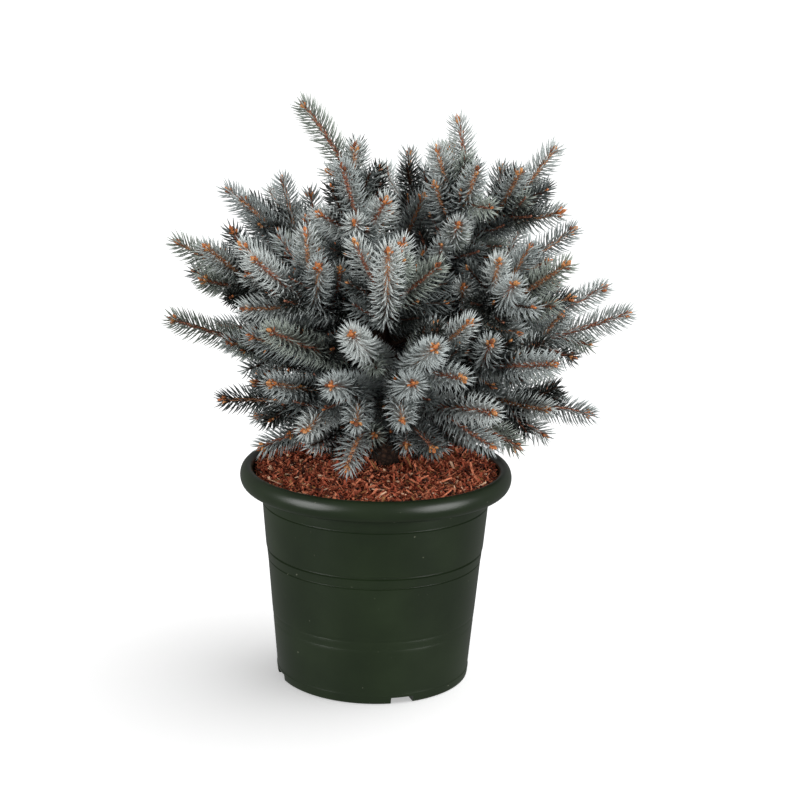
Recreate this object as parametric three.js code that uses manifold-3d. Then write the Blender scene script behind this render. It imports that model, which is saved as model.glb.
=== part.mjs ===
// A young blue spruce in a moulded nursery container, topped with bark mulch.
// Millimetres, +Z up. The origin is the centre of the container's flat underside
// and -Y is the front. Every piece is a closed solid and keeps CLEAR from the next.

import * as THREE from 'three';
import { mergeVertices } from 'three/addons/utils/BufferGeometryUtils.js';
import Module from 'manifold-3d';

const wasm = await Module();
wasm.setup();

// ---------------------------------------------------------------- driving sizes

const CLEAR = 0.3;              // gap left between pieces that rest on each other
const SEED = 42;                // starts the branching rule

// container: a ten-litre tub with a rolled rim
const POT = {
  footRadius: 100.6,            // outside, at the underside
  wallRadius: 118.7,            // outside, under the rim
  wallTop: 208,
  rimRadius: 141.5,             // furthest out of the rolled rim
  rimCrest: 227.2,
  rimHalfWidth: 7.25,
  rimHalfHeight: 11,
  wall: 3,                      // thickness of the side
  floor: 10,                    // top of the base plate
  footRound: 1.8,               // the edge under the side
  footBand: [10, 0.8],          // top and how far it stands out
  stackBands: [[60, 69, 0.7], [128, 139, 1]],   // lower edge, upper edge, standing out
  bandEdge: 1,                  // height of a band's sloping edge
  collar: [188, 203, 2.2],      // the same for the collar under the rim
  collarEdge: 1.5,
  rimFrom: -125,                // the rolled rim's arc, in degrees
  rimTo: 171,
  rimSteps: 9,
  drainWidth: 24,
  drainHeight: 7,
  drainReach: 62,               // radius where each drain channel starts
  drainBearing: 18,             // first channel, degrees from the front
  facets: 32,
};
const DRAINS = 4;

// filling: potting mix with a loose layer of bark chips over it
const SOIL_TOP = 205;
const MULCH = { edge: 220.5, crown: 227.5, relief: 2, steps: 4 };

// trunk: from its flat cut on the potting mix to where the leader stands on it
const TRUNK = {
  foot: new THREE.Vector3(10, 4, SOIL_TOP + CLEAR),
  tip: new THREE.Vector3(2, 6, 436),
  bow: 3,                       // sideways swell of its middle
  footRadius: 15,
  tipRadius: 7,
  flare: 7,                     // added radius of the root flare at the cut
  flareHeight: 22,
  sides: 10,
  rings: 13,
  ringSpacing: 1.25,            // above 1, the rings stand closer near the flare
};

// growth: one season's shoot, and the needles that stand on it
const SEASON = 92;
const NEEDLE = 20;
const NEEDLE_SPREAD = [0.88, 1.08];   // shortest and longest needle, as a share
const NEEDLE_OPEN = 60;               // degrees between needle and twig
const NEEDLE_OPEN_TIP = 34;           // the same, at the bud
const TWIG = { root: 3.2, node: 2.8, tip: 2.2, step: 20.5, bud: 7 };
const LIMB = { root: 4.6, tip: 3.2, share: 0.36, sides: 5, rings: 3 };
const STAGGER = 5;                    // step in height between the boughs of a whorl
const STEM_FROM = 14;                 // where twigs may start on a bough without a limb

// boughs, whorl by whorl up the trunk, and last two that stand between whorls. Each row
// is the bearing from the front (right is positive), the lift at the trunk, the turn
// upwards along its length, all in degrees, its reach, and the share of full length
// that its side twigs have.
const WHORLS = [
  { name: 'skirt', height: 258, limb: false, rows: [
    [-78, 28, -56, 137, 0.6], [-21, 36, -86, 122, 0.5], [21, 40, -60, 134, 0.5],
    [66, 24, -52, 150, 0.4], [124, 34, -36, 144, 0.8], [-140, 34, -36, 144, 0.8]] },
  { name: 'lower', height: 288, limb: false, rows: [
    [-88, 12, -14, 170, 1], [-38, 15, 2, 190, 1], [34, 19, -14, 186, 1],
    [88, 4, -15, 212, 0.8], [142, 12, -8, 200, 1], [-150, 12, -8, 196, 1]] },
  { name: 'front', height: 304, limb: false, rows: [
    [7, 15, 2, 200, 1]] },
  { name: 'middle', height: 328, limb: true, rows: [
    [-86, 12, 7, 228, 0.5], [-34, 12, 14, 210, 1], [12, 13, 13, 222, 1], [44, 5, 8, 232, 0.8],
    [84, 9, 13, 254, 0.5], [108, 12, 15, 256, 0.75], [174, 8, 12, 226, 1],
    [-132, 10, 12, 226, 1]] },
  { name: 'upper', height: 366, limb: true, rows: [
    [-90, 20, 10, 236, 1], [-40, 15, 22, 218, 1], [0, 17, 34, 220, 1], [70, 35, 72, 238, 1],
    [101, 21, 14, 222, 0.85], [56, 15, 24, 234, 1], [146, 20, 20, 214, 1],
    [-134, 27, 20, 218, 1]] },
  { name: 'shoulder', height: 392, limb: false, rows: [
    [-108, 26, 13, 205, 0.95], [86, 33, 24, 238, 0.85]] },
  { name: 'crest', height: 416, limb: false, rows: [
    [-26, 46, 16, 162, 0.85], [150, 41, 10, 176, 1]] },
  { name: 'leader', height: 436, limb: false, rows: [
    [-78, 76, -26, 184, 0.5]] },
  { name: 'low_inset', height: 306, limb: false, rows: [
    [-17, 14, 0, 190, 1]] },
  { name: 'high_inset', height: 338, limb: false, rows: [
    [-10, 12, 14, 204, 1]] },
];

// side twigs: how many, between which angles to the stem, how long for a season, and
// where they start: steps down from the node, or shares of the stem behind it
const AT_NODE = { count: 4, tries: 20, angle: [38, 54], length: [0.74, 0.95], step: 2.5 };
const BEHIND_NODE = {
  count: 3, tries: 24, angle: [48, 66], length: [0.5, 0.85], first: 0.3, step: 0.25,
};
const ROLL_PLAY = 12;                 // degrees that a twig may stray round its stem
const ROLL_STEP = 68.75;              // turn between tries, half the golden angle
const TWIG_FORWARD = 0.25;            // how far a twig bends along its stem
const TWIG_UP = 0.2;                  // and upwards
const SEED_STEP = 977;                // between the seeds of two boughs

// room: what each mass keeps for itself
const GROUND_ROOM = 246;              // no side twig or needle hangs lower than this
const SPINE = { from: 24, points: 16 };       // fine points along a bough
const TWIG_ROOM = { end: 7, middle: 6 };      // inside the mass's space
const TWIGS_APART = { end: 34, middle: 15 };  // between two twigs of a mass
const TRUNK_ROOM = 1;
const NEEDLE_ROOM = 1;                // and nearer to its own twig by this much
const CORE_STEP = 6;                  // fine points along a twig
const ABOVE_TRUNK = 4;                // the trunk's space reaches this far over its tip
const BELOW_TRUNK = 5;                // and its cutter this far under its foot

// ---------------------------------------------------------------- helpers

const radians = THREE.MathUtils.degToRad;
const UP = new THREE.Vector3(0, 0, 1);

// Numbers that look random but come out the same on every run.
class Seeded {
  constructor(seed) {
    this.state = seed >>> 0;
  }

  between(low, high) {
    this.state = (Math.imul(this.state, 1664525) + 1013904223) >>> 0;
    return low + (high - low) * this.state / 4294967296;
  }
}

// Corner points and triangles to a geometry.
function geometryOf(points, triangles) {
  const geometry = new THREE.BufferGeometry();
  const flat = points.flatMap((point) => [point.x, point.y, point.z]);
  geometry.setAttribute('position', new THREE.Float32BufferAttribute(flat, 3));
  geometry.setIndex(triangles.flat());
  return geometry;
}

// A closed three.js geometry to a solid that can be joined and cut.
function solidOf(geometry) {
  const bare = geometry.clone();
  bare.deleteAttribute('normal');
  bare.deleteAttribute('uv');
  const merged = mergeVertices(bare, 1e-4);
  return new wasm.Manifold(new wasm.Mesh({
    numProp: 3,
    vertProperties: new Float32Array(merged.attributes.position.array),
    triVerts: new Uint32Array(merged.index.array),
  }));
}

// The largest single body of a solid, as a geometry: loose scraps and sealed
// hollows, which are bodies of their own, are left behind.
function largestBody(solid) {
  const bodies = solid.decompose();
  bodies.sort((a, b) => b.volume() - a.volume());
  const { vertProperties, triVerts } = bodies[0].getMesh();
  const geometry = new THREE.BufferGeometry();
  geometry.setAttribute('position', new THREE.BufferAttribute(vertProperties, 3));
  geometry.setIndex(new THREE.BufferAttribute(triVerts, 1));
  return geometry;
}

// Closed skin over rings that all have the same number of corners.
function skin(rings) {
  const sides = rings[0].length;
  const points = rings.flat();
  const triangles = [];
  for (let ring = 0; ring < rings.length - 1; ring += 1) {
    for (let side = 0; side < sides; side += 1) {
      const a = ring * sides + side;
      const b = ring * sides + (side + 1) % sides;
      triangles.push([a, b, b + sides], [a, b + sides, a + sides]);
    }
  }
  const last = (rings.length - 1) * sides;
  for (let side = 1; side < sides - 1; side += 1) {
    triangles.push([0, side + 1, side], [last, last + side, last + side + 1]);
  }
  return geometryOf(points, triangles);
}

// Two directions square to a path's direction: one level, one leaning up.
function crossAxes(direction) {
  const level = UP.clone().cross(direction).normalize();
  return [level, direction.clone().cross(level)];
}

// A ring of corners round a point, square to a direction.
function ringRound(centre, direction, radius, sides, turn) {
  const [across, above] = crossAxes(direction);
  return Array.from({ length: sides }, (_, corner) => {
    const angle = turn + corner * 2 * Math.PI / sides;
    return centre.clone()
      .addScaledVector(across, radius * Math.cos(angle))
      .addScaledVector(above, radius * Math.sin(angle));
  });
}

// ---------------------------------------------------------------- container

// Outside radius of the tapering side at a height.
function potWall(z) {
  return POT.footRadius + (POT.wallRadius - POT.footRadius) * z / POT.wallTop;
}

// A raised band round the side: its profile between two heights.
function band(low, high, proud) {
  return [[potWall(low), low], [potWall(low) + proud, low + POT.bandEdge],
    [potWall(high) + proud, high - POT.bandEdge], [potWall(high), high]];
}

function potProfile() {
  const middle = [POT.rimRadius - POT.rimHalfWidth, POT.rimCrest - POT.rimHalfHeight];
  const rim = Array.from({ length: POT.rimSteps + 1 }, (_, step) => {
    const angle = radians(POT.rimFrom + (POT.rimTo - POT.rimFrom) * step / POT.rimSteps);
    return [middle[0] + POT.rimHalfWidth * Math.cos(angle),
      middle[1] + POT.rimHalfHeight * Math.sin(angle)];
  });
  const [footTop, footProud] = POT.footBand;
  const [collarLow, collarHigh, collarProud] = POT.collar;
  return [
    [0, 0], [potWall(0) - POT.footRound, 0], [potWall(0) + footProud, POT.footRound],
    [potWall(footTop) + footProud, footTop], [potWall(footTop), footTop + POT.bandEdge],
    ...POT.stackBands.flatMap(([low, high, proud]) => band(low, high, proud)),
    [potWall(collarLow - POT.collarEdge), collarLow - POT.collarEdge],
    [potWall(collarLow) + collarProud, collarLow],
    [potWall(collarHigh) + collarProud, collarHigh],
    ...rim,
    [potWall(POT.wallTop) - POT.wall, POT.wallTop],
    [potWall(POT.floor) - POT.wall, POT.floor],
    [0, POT.floor],
  ];
}

function lathe(profile) {
  const outline = profile.map(([radius, z]) => new THREE.Vector2(radius, z));
  const geometry = new THREE.LatheGeometry(outline, POT.facets);
  geometry.rotateX(Math.PI / 2);
  return geometry;
}

function container() {
  let solid = solidOf(lathe(potProfile()));
  const length = POT.rimRadius - POT.drainReach;
  for (let drain = 0; drain < DRAINS; drain += 1) {
    const channel = new THREE.BoxGeometry(POT.drainWidth, length, 2 * POT.drainHeight);
    channel.translate(0, -POT.drainReach - length / 2, 0);
    channel.rotateZ(radians(POT.drainBearing + drain * 360 / DRAINS));
    solid = solid.subtract(solidOf(channel));
  }
  return largestBody(solid);
}

// ---------------------------------------------------------------- filling

// Inside radius of the container at a height, less the gap.
function insidePot(z) {
  return potWall(z) - POT.wall - 2 * CLEAR;
}

function pottingMix() {
  const bottom = POT.floor + CLEAR;
  return lathe([[0, bottom], [insidePot(bottom), bottom], [insidePot(SOIL_TOP), SOIL_TOP],
    [0, SOIL_TOP]]);
}

// Bark mulch: a low heap with a rough top, which the trunk stands through. Over the
// side of the container it widens to the inner face of the rolled rim.
function mulch(cutter) {
  const bottom = SOIL_TOP + CLEAR;
  const outer = insidePot(bottom);
  const edge = POT.rimRadius - 2 * POT.rimHalfWidth - 2 * CLEAR;
  const profile = [[0, bottom], [outer, bottom], [outer, POT.wallTop]];
  for (let step = 0; step <= MULCH.steps; step += 1) {
    const share = step / MULCH.steps;
    const height = MULCH.edge + (MULCH.crown - MULCH.edge) * Math.sin(share * Math.PI / 2);
    profile.push([edge * (1 - share), height]);
  }
  const geometry = lathe(profile);
  geometry.deleteAttribute('normal');
  geometry.deleteAttribute('uv');
  const heap = mergeVertices(geometry, 1e-3);
  const random = new Seeded(SEED);
  const corners = heap.attributes.position;
  for (let corner = 0; corner < corners.count; corner += 1) {
    if (corners.getZ(corner) > MULCH.edge - MULCH.relief) {
      const lift = random.between(-MULCH.relief, MULCH.relief);
      corners.setZ(corner, corners.getZ(corner) + lift);
    }
  }
  return largestBody(solidOf(heap).subtract(cutter));
}

// ---------------------------------------------------------------- trunk and boughs

function trunkAt(z) {
  const share = (z - TRUNK.foot.z) / (TRUNK.tip.z - TRUNK.foot.z);
  const centre = TRUNK.foot.clone().lerp(TRUNK.tip, share);
  centre.x += TRUNK.bow * Math.sin(share * Math.PI);
  centre.z = z;
  return centre;
}

function trunkRadius(z) {
  const share = (z - TRUNK.foot.z) / (TRUNK.tip.z - TRUNK.foot.z);
  const flare = Math.max(0, 1 - (z - TRUNK.foot.z) / TRUNK.flareHeight);
  return TRUNK.footRadius + (TRUNK.tipRadius - TRUNK.footRadius) * share + TRUNK.flare * flare ** 2;
}

// The trunk, with every ring level so that both of its cuts are flat.
function trunkRings(grown) {
  return Array.from({ length: TRUNK.rings }, (_, ring) => {
    const share = (ring / (TRUNK.rings - 1)) ** TRUNK.ringSpacing;
    const centre = trunkAt(TRUNK.foot.z + (TRUNK.tip.z - TRUNK.foot.z) * share);
    const radius = trunkRadius(centre.z) + grown;
    return Array.from({ length: TRUNK.sides }, (__, side) => {
      const angle = side * 2 * Math.PI / TRUNK.sides;
      return new THREE.Vector3(centre.x + radius * Math.cos(angle),
        centre.y + radius * Math.sin(angle), centre.z);
    });
  });
}

// The space that other pieces keep clear: the trunk grown by the gap all round.
function trunkSpace() {
  const rings = trunkRings(CLEAR);
  const lifted = (ring, rise) => ring.map((corner) => corner.clone().setZ(corner.z + rise));
  return skin([lifted(rings[0], -BELOW_TRUNK), ...rings, lifted(rings[rings.length - 1], CLEAR)]);
}

// Each bough bends evenly in one upright plane: an arc from the trunk's middle.
class Bough {
  constructor(whorl, row, place, number) {
    const [bearing, lift, turn, reach, fullness] = row;
    this.name = `${whorl.name}_${place + 1}`;
    this.number = number;
    const level = whorl.rows.length > 2 ? (place * 3) % 5 - 2 : 0;   // one of five
    this.root = trunkAt(whorl.height + level * STAGGER);
    this.bearing = radians(bearing);
    this.lift = radians(lift);
    this.bend = radians(turn) / reach;
    this.reach = reach;
    this.fullness = fullness;
    this.season = Math.min(SEASON, reach / 2);
    this.node = reach - this.season;
    this.hasLimb = whorl.limb;
    this.limbEnd = whorl.limb ? reach * LIMB.share : 0;
    this.spine = Array.from({ length: SPINE.points }, (_, step) => (
      this.at(SPINE.from + (reach - SPINE.from) * step / (SPINE.points - 1))));
  }

  at(length) {
    const angle = this.lift + this.bend * length;
    let out = length * Math.cos(this.lift);
    let rise = length * Math.sin(this.lift);
    if (Math.abs(this.bend) > 1e-7) {
      out = (Math.sin(angle) - Math.sin(this.lift)) / this.bend;
      rise = (Math.cos(this.lift) - Math.cos(angle)) / this.bend;
    }
    return new THREE.Vector3(this.root.x + out * Math.sin(this.bearing),
      this.root.y - out * Math.cos(this.bearing), this.root.z + rise);
  }

  along(length) {
    const angle = this.lift + this.bend * length;
    return new THREE.Vector3(Math.cos(angle) * Math.sin(this.bearing),
      -Math.cos(angle) * Math.cos(this.bearing), Math.sin(angle));
  }
}

const boughs = WHORLS.flatMap((whorl) => whorl.rows.map((row, place) => [whorl, row, place]))
  .map(([whorl, row, place], index) => new Bough(whorl, row, place, index + 1));

// Bare tapering limb from the trunk to where its foliage starts.
function limb(bough, cutter) {
  const rings = [];
  for (let ring = 0; ring <= LIMB.rings; ring += 1) {
    const share = ring / LIMB.rings;
    const length = bough.limbEnd * share;
    const radius = LIMB.root + (LIMB.tip - LIMB.root) * share;
    rings.push(ringRound(bough.at(length), bough.along(length), radius, LIMB.sides, 0));
  }
  return largestBody(solidOf(skin(rings)).subtract(cutter));
}

// ---------------------------------------------------------------- foliage

// How far a point lies inside the space of a bough: from the surface halfway to
// each other bough, from the trunk and from the ground. Outside it is negative.
function room(point, bough) {
  const near = (spine) => spine.reduce((best, spot) => (
    spot.distanceToSquared(point) < best.distanceToSquared(point) ? spot : best));
  const own = near(bough.spine);
  const ownSquare = own.distanceToSquared(point);
  let least = point.z - GROUND_ROOM;
  for (const other of boughs) {
    if (other !== bough) {
      for (const spot of other.spine) {
        const half = (spot.distanceToSquared(point) - ownSquare) / (2 * spot.distanceTo(own));
        least = Math.min(least, half);
      }
    }
  }
  if (point.z < TRUNK.tip.z + ABOVE_TRUNK) {
    const centre = trunkAt(point.z);
    const out = Math.hypot(point.x - centre.x, point.y - centre.y);
    least = Math.min(least, out - trunkRadius(point.z) - TRUNK_ROOM);
  }
  return least;
}

// A side twig leaves its stem at an angle and bends forwards and up.
class Twig {
  constructor(bough, length, roll, angle, span) {
    const along = bough.along(length);
    const [across, above] = crossAxes(along);
    const out = across.multiplyScalar(Math.cos(roll)).addScaledVector(above, Math.sin(roll));
    const first = along.clone().multiplyScalar(Math.cos(angle)).addScaledVector(out, Math.sin(angle));
    const second = first.clone().addScaledVector(along, TWIG_FORWARD)
      .addScaledVector(UP, TWIG_UP).normalize();
    this.span = span;
    this.start = bough.at(length);
    this.middle = this.start.clone().addScaledVector(first, span / 2);
    this.end = this.middle.clone().addScaledVector(second, span / 2);
    this.curve = new THREE.QuadraticBezierCurve3(this.start, this.middle, this.end);
  }
}

// Side twigs of one mass: round the last node, then down the older stem. A twig
// that would leave the mass's space, or lie on another twig, is skipped.
function sideTwigs(bough) {
  const random = new Seeded(SEED + SEED_STEP * bough.number);
  const grown = [];
  const clash = (twig) => grown.some((other) => (
    other.end.distanceTo(twig.end) < TWIGS_APART.end
    || other.curve.getPoint(0.5).distanceTo(twig.curve.getPoint(0.5)) < TWIGS_APART.middle));
  const fits = (twig) => room(twig.end, bough) > TWIG_ROOM.end
    && room(twig.curve.getPoint(0.6), bough) > TWIG_ROOM.middle && !clash(twig);
  const grow = (rule, place) => {
    let count = 0;
    let roll = random.between(0, 360);
    for (let attempt = 0; attempt < rule.tries && count < rule.count; attempt += 1) {
      const turned = roll + random.between(-ROLL_PLAY, ROLL_PLAY);
      const angle = random.between(...rule.angle);
      const span = bough.season * bough.fullness * random.between(...rule.length);
      const twig = new Twig(bough, place(count), radians(turned), radians(angle), span);
      roll += attempt % 2 === 0 ? 360 / rule.count : ROLL_STEP;
      if (fits(twig)) {
        grown.push(twig);
        count += 1;
      }
    }
  };
  const stem = bough.node - (bough.hasLimb ? bough.limbEnd : STEM_FROM);
  grow(AT_NODE, (count) => bough.node - AT_NODE.step * count);
  grow(BEHIND_NODE, (count) => (
    bough.node - stem * (BEHIND_NODE.first + BEHIND_NODE.step * count)));
  return grown;
}

// One twig as stations along it, with fine points that other twigs keep off.
function sprig(pointAt, alongAt, length, radii) {
  const steps = Math.round(length / TWIG.step);
  const stations = Array.from({ length: steps + 1 }, (_, step) => ({
    point: pointAt(step / steps),
    along: alongAt(step / steps),
    radius: radii[0] + (radii[1] - radii[0]) * step / steps,
  }));
  const fine = Math.ceil(length / CORE_STEP);
  const core = Array.from({ length: fine + 1 }, (_, step) => pointAt(step / fine));
  return { stations, core };
}

// All twigs of one mass: the stem, which ends in the bough's own tip, comes first.
function sprigsOf(bough) {
  const from = bough.hasLimb ? bough.limbEnd + CLEAR : 0;
  const span = bough.reach - from;
  const stem = sprig((share) => bough.at(from + span * share),
    (share) => bough.along(from + span * share), span, [TWIG.root, TWIG.tip]);
  const sides = sideTwigs(bough).map((twig) => sprig((share) => twig.curve.getPoint(share),
    (share) => twig.curve.getTangent(share), twig.span, [TWIG.node, TWIG.tip]));
  return [stem, ...sides];
}

const nearest = (point, core) => Math.min(...core.map((spot) => spot.distanceTo(point)));

// Whether a needle's tip has room: inside its mass's space, by its own twig.
function hasRoom(tip, own, sprigs, bough) {
  const reach = nearest(tip, own.core);
  const keepsOff = (other) => nearest(tip, other.core) > reach + NEEDLE_ROOM;
  return sprigs.every((other) => other === own || keepsOff(other))
    && room(tip, bough) > NEEDLE_ROOM;
}

// A twig with its needles: a slim three-sided core whose rings are each turned
// half a side on, with a flat needle drawn out of every other face, and a bud.
function needledTwig(own, sprigs, bough) {
  const { stations } = own;
  const points = stations.flatMap(({ point, along, radius }, ring) => (
    ringRound(point, along, radius, 3, (ring % 2) * Math.PI / 3)));
  const triangles = [[0, 2, 1]];
  const last = stations.length - 1;
  const random = new Seeded(SEED + Math.round(stations[last].point.lengthSq()));
  for (let ring = 0; ring < last; ring += 1) {
    const { point, along } = stations[ring];
    const open = radians(NEEDLE_OPEN + (NEEDLE_OPEN_TIP - NEEDLE_OPEN) * (ring / last) ** 2);
    for (let side = 0; side < 3; side += 1) {
      const left = ring * 3 + side;
      const right = ring * 3 + (side + 1) % 3;
      const above = (ring + 1) * 3 + (side + ring % 2) % 3;
      const beyond = (ring + 1) * 3 + (side + ring % 2 + 1) % 3;
      const base = points[left].clone().add(points[right]).divideScalar(2);
      const out = base.clone().sub(point).normalize();
      const length = NEEDLE * random.between(...NEEDLE_SPREAD);
      const tip = base.lerp(points[above], 1 / 3)
        .addScaledVector(out, length * Math.sin(open))
        .addScaledVector(along, length * Math.cos(open));
      triangles.push([right, beyond, above]);
      if ((ring > 0 || own === sprigs[0]) && hasRoom(tip, own, sprigs, bough)) {
        const apex = points.push(tip) - 1;
        triangles.push([left, right, apex], [right, above, apex], [above, left, apex]);
      } else {
        triangles.push([left, right, above]);
      }
    }
  }
  const bud = stations[last].point.clone().addScaledVector(stations[last].along, TWIG.bud);
  const budTip = points.push(bud) - 1;
  for (let side = 0; side < 3; side += 1) {
    triangles.push([last * 3 + side, last * 3 + (side + 1) % 3, budTip]);
  }
  return solidOf(geometryOf(points, triangles));
}

function foliage(bough, cutter) {
  const sprigs = sprigsOf(bough);
  const solid = sprigs.map((own) => needledTwig(own, sprigs, bough))
    .reduce((joined, twig) => joined.add(twig));
  return largestBody(bough.hasLimb ? solid : solid.subtract(cutter));
}

// ---------------------------------------------------------------- assembly

function material(color, roughness) {
  return new THREE.MeshStandardMaterial({ color, roughness, metalness: 0 });
}

const spruce = new THREE.Group();
function place(name, geometry, look) {
  const mesh = new THREE.Mesh(geometry, look);
  mesh.name = name;
  spruce.add(mesh);
}

const PLASTIC = material('#2f3d31', 0.42);
const BARK = material('#33261f', 0.9);
const TWIG_BARK = material('#5c4030', 0.85);
const NEEDLES = material('#7e9092', 0.6);

const cutter = solidOf(trunkSpace());
place('pot', container(), PLASTIC);
place('potting_mix', pottingMix(), material('#241a15', 1));
place('bark_mulch', mulch(cutter), material('#7a3f28', 0.95));
place('trunk', skin(trunkRings(0)), BARK);
for (const bough of boughs) {
  if (bough.hasLimb) {
    place(`bough_${bough.name}`, limb(bough, cutter), TWIG_BARK);
  }
  place(`foliage_${bough.name}`, foliage(bough, cutter), NEEDLES);
}

export default spruce;
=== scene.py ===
import math

import bpy
import numpy as np
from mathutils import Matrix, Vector, noise


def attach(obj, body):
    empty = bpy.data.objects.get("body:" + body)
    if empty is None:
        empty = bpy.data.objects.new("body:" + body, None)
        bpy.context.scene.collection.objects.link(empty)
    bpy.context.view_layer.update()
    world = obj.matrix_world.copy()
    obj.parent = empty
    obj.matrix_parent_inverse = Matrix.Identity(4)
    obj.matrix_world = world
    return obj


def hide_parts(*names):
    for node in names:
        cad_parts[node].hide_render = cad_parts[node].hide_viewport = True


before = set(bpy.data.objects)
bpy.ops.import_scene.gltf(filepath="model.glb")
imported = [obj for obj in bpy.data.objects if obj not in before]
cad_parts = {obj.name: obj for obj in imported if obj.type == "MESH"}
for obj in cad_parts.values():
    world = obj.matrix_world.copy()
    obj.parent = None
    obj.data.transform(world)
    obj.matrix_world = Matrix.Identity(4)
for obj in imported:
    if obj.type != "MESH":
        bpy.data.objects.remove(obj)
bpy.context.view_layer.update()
MM = 0.001

# ---------------------------------------------------------------- nursery tub
# Round plant tub with a rolled rim, injection-moulded in dark green polypropylene.
# Its outline is turned about the upright axis, and four drain channels are cut
# across the underside. The side is left plain. Sizes are in millimetres.
FOOT_RADIUS = 100.6
FOOT_EDGE = ((0, 0), (60, 0), (97.6, 0), (99.6, 0.2), (100.9, 0.9), (101.2, 2.2))
WALL_RADIUS = 118.7
WALL_TOP = 208
WALL = 3
FLOOR_THICK = 10
INNER_ROUND = 3
MID_HEIGHT = 110
COLLAR_TOP = 203
COLLAR_PROUD = 1.9
# The rolled rim is an oval: the radius and height of its middle, half its width and
# height, and where it starts and ends, in degrees.
RIM_CENTRE = (134.25, 216.2)
RIM_HALF = (7.25, 11)
RIM_FROM = -125
RIM_TO = 171
RIM_STEPS = 28
LIP_OUT = 0.6
LIP_UP = 1
TUB_STEPS = 144
DRAIN_WIDTH = 24
DRAIN_HEIGHT = 7
DRAIN_REACH = 62
DRAIN_EDGE = 0.8
DRAIN_BEARINGS = (18, 108, 198, 288)
# Each line pressed in round the side: its height, its depth, half its width, and how
# far the side stands out below and above it.
GROOVES = ((10, 0.5, 0.9, 0.5, 0), (60, 0.05, 1.2, 0, 0), (69, 0.05, 1.2, 0, 0.2),
           (128, 0.9, 1, 0.2, 0.5), (139, 1.4, 1.5, 0.5, 1.2), (189, 1, 1.2, 1.2, 2))
GROOVE_MARGIN = 4


def linear(code):
    """sRGB hex colour as the linear colour that a shader reads."""
    levels = [int(code[first:first + 2], 16) / 255 for first in (1, 3, 5)]
    return [level / 12.92 if level <= 0.04045 else ((level + 0.055) / 1.055) ** 2.4 for level in levels] + [1]


def add_node(material, kind, inputs=None, **settings):
    """Adds a node; an input that is a socket is linked, any other is a value."""
    node = material.node_tree.nodes.new("ShaderNode" + kind)
    for name, value in settings.items():
        setattr(node, name, value)
    for name, value in (inputs or {}).items():
        if isinstance(value, bpy.types.NodeSocket):
            material.node_tree.links.new(value, node.inputs[name])
        else:
            node.inputs[name].default_value = value
    return node


def new_material(name, roughness, specular=0.5):
    """A named material, with its surface shader and its object coordinates."""
    material = bpy.data.materials.new(name)
    material.use_nodes = True
    surface = material.node_tree.nodes["Principled BSDF"]
    surface.inputs["Roughness"].default_value = roughness
    surface.inputs["Specular IOR Level"].default_value = specular
    place = add_node(material, "TexCoord").outputs["Object"]
    return material, surface, place


def colour_steps(material, factor, *stops):
    """Colours that follow a factor: each stop is its place and its hex colour."""
    ramp = add_node(material, "ValToRGB", {"Fac": factor})
    while len(ramp.color_ramp.elements) < len(stops):
        ramp.color_ramp.elements.new(0.5)
    for element, (at, code) in zip(ramp.color_ramp.elements, stops):
        element.position = at
        element.color = linear(code)
    return ramp.outputs["Color"]


def link(material, socket, surface, name):
    material.node_tree.links.new(socket, surface.inputs[name])


def wall_at(height):
    """Outside radius of the tapering side."""
    return FOOT_RADIUS + (WALL_RADIUS - FOOT_RADIUS) * height / WALL_TOP


def groove(height, depth, half, below, above):
    """Outline of the side round one pressed line, from a little below it to a little above."""
    side = wall_at(height)
    start = height - GROOVE_MARGIN
    end = height + GROOVE_MARGIN
    return [(wall_at(start) + below, start), (side + below, height - half),
            (side + below - depth, height - half / 3), (side + below - depth, height + half / 3),
            (side + above, height + half), (wall_at(end) + above, end)]


def turned(name, outline, steps):
    """A mesh turned about the upright axis from (radius, height) points in millimetres."""
    bpy.ops.object.select_all(action="DESELECT")
    bpy.ops.mesh.primitive_plane_add(size=0.01)
    piece = bpy.context.object
    piece.name = name
    bpy.ops.object.mode_set(mode="EDIT")
    bpy.ops.mesh.merge(type="CENTER")
    bpy.ops.transform.translate(value=(outline[0][0] * MM, 0, outline[0][1] * MM))
    for (radius, height), (further, higher) in zip(outline, outline[1:]):
        step = ((further - radius) * MM, 0, (higher - height) * MM)
        bpy.ops.mesh.extrude_vertices_move(TRANSFORM_OT_translate={"value": step})
    bpy.ops.mesh.select_all(action="SELECT")
    bpy.ops.mesh.spin(steps=steps, angle=2 * math.pi, center=(0, 0, 0), axis=(0, 0, 1))
    bpy.ops.mesh.select_all(action="SELECT")
    bpy.ops.mesh.remove_doubles(threshold=0.00002)
    bpy.ops.mesh.normals_make_consistent(inside=False)
    bpy.ops.object.mode_set(mode="OBJECT")
    return piece


outline = list(FOOT_EDGE)
for pressed in GROOVES:
    outline += groove(*pressed)
outline.append((wall_at(COLLAR_TOP) + COLLAR_PROUD, COLLAR_TOP))
for step in range(RIM_STEPS + 1):
    angle = math.radians(RIM_FROM + (RIM_TO - RIM_FROM) * step / RIM_STEPS)
    outline.append((RIM_CENTRE[0] + RIM_HALF[0] * math.cos(angle),
                    RIM_CENTRE[1] + RIM_HALF[1] * math.sin(angle)))
outline.append((wall_at(WALL_TOP) - WALL + LIP_OUT, WALL_TOP + LIP_UP))
for height in (WALL_TOP - INNER_ROUND, MID_HEIGHT, FLOOR_THICK + INNER_ROUND):
    outline.append((wall_at(height) - WALL, height))
outline += [(wall_at(FLOOR_THICK) - WALL - INNER_ROUND, FLOOR_THICK), (0, FLOOR_THICK)]
tub = turned("tub", outline, TUB_STEPS)

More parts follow.
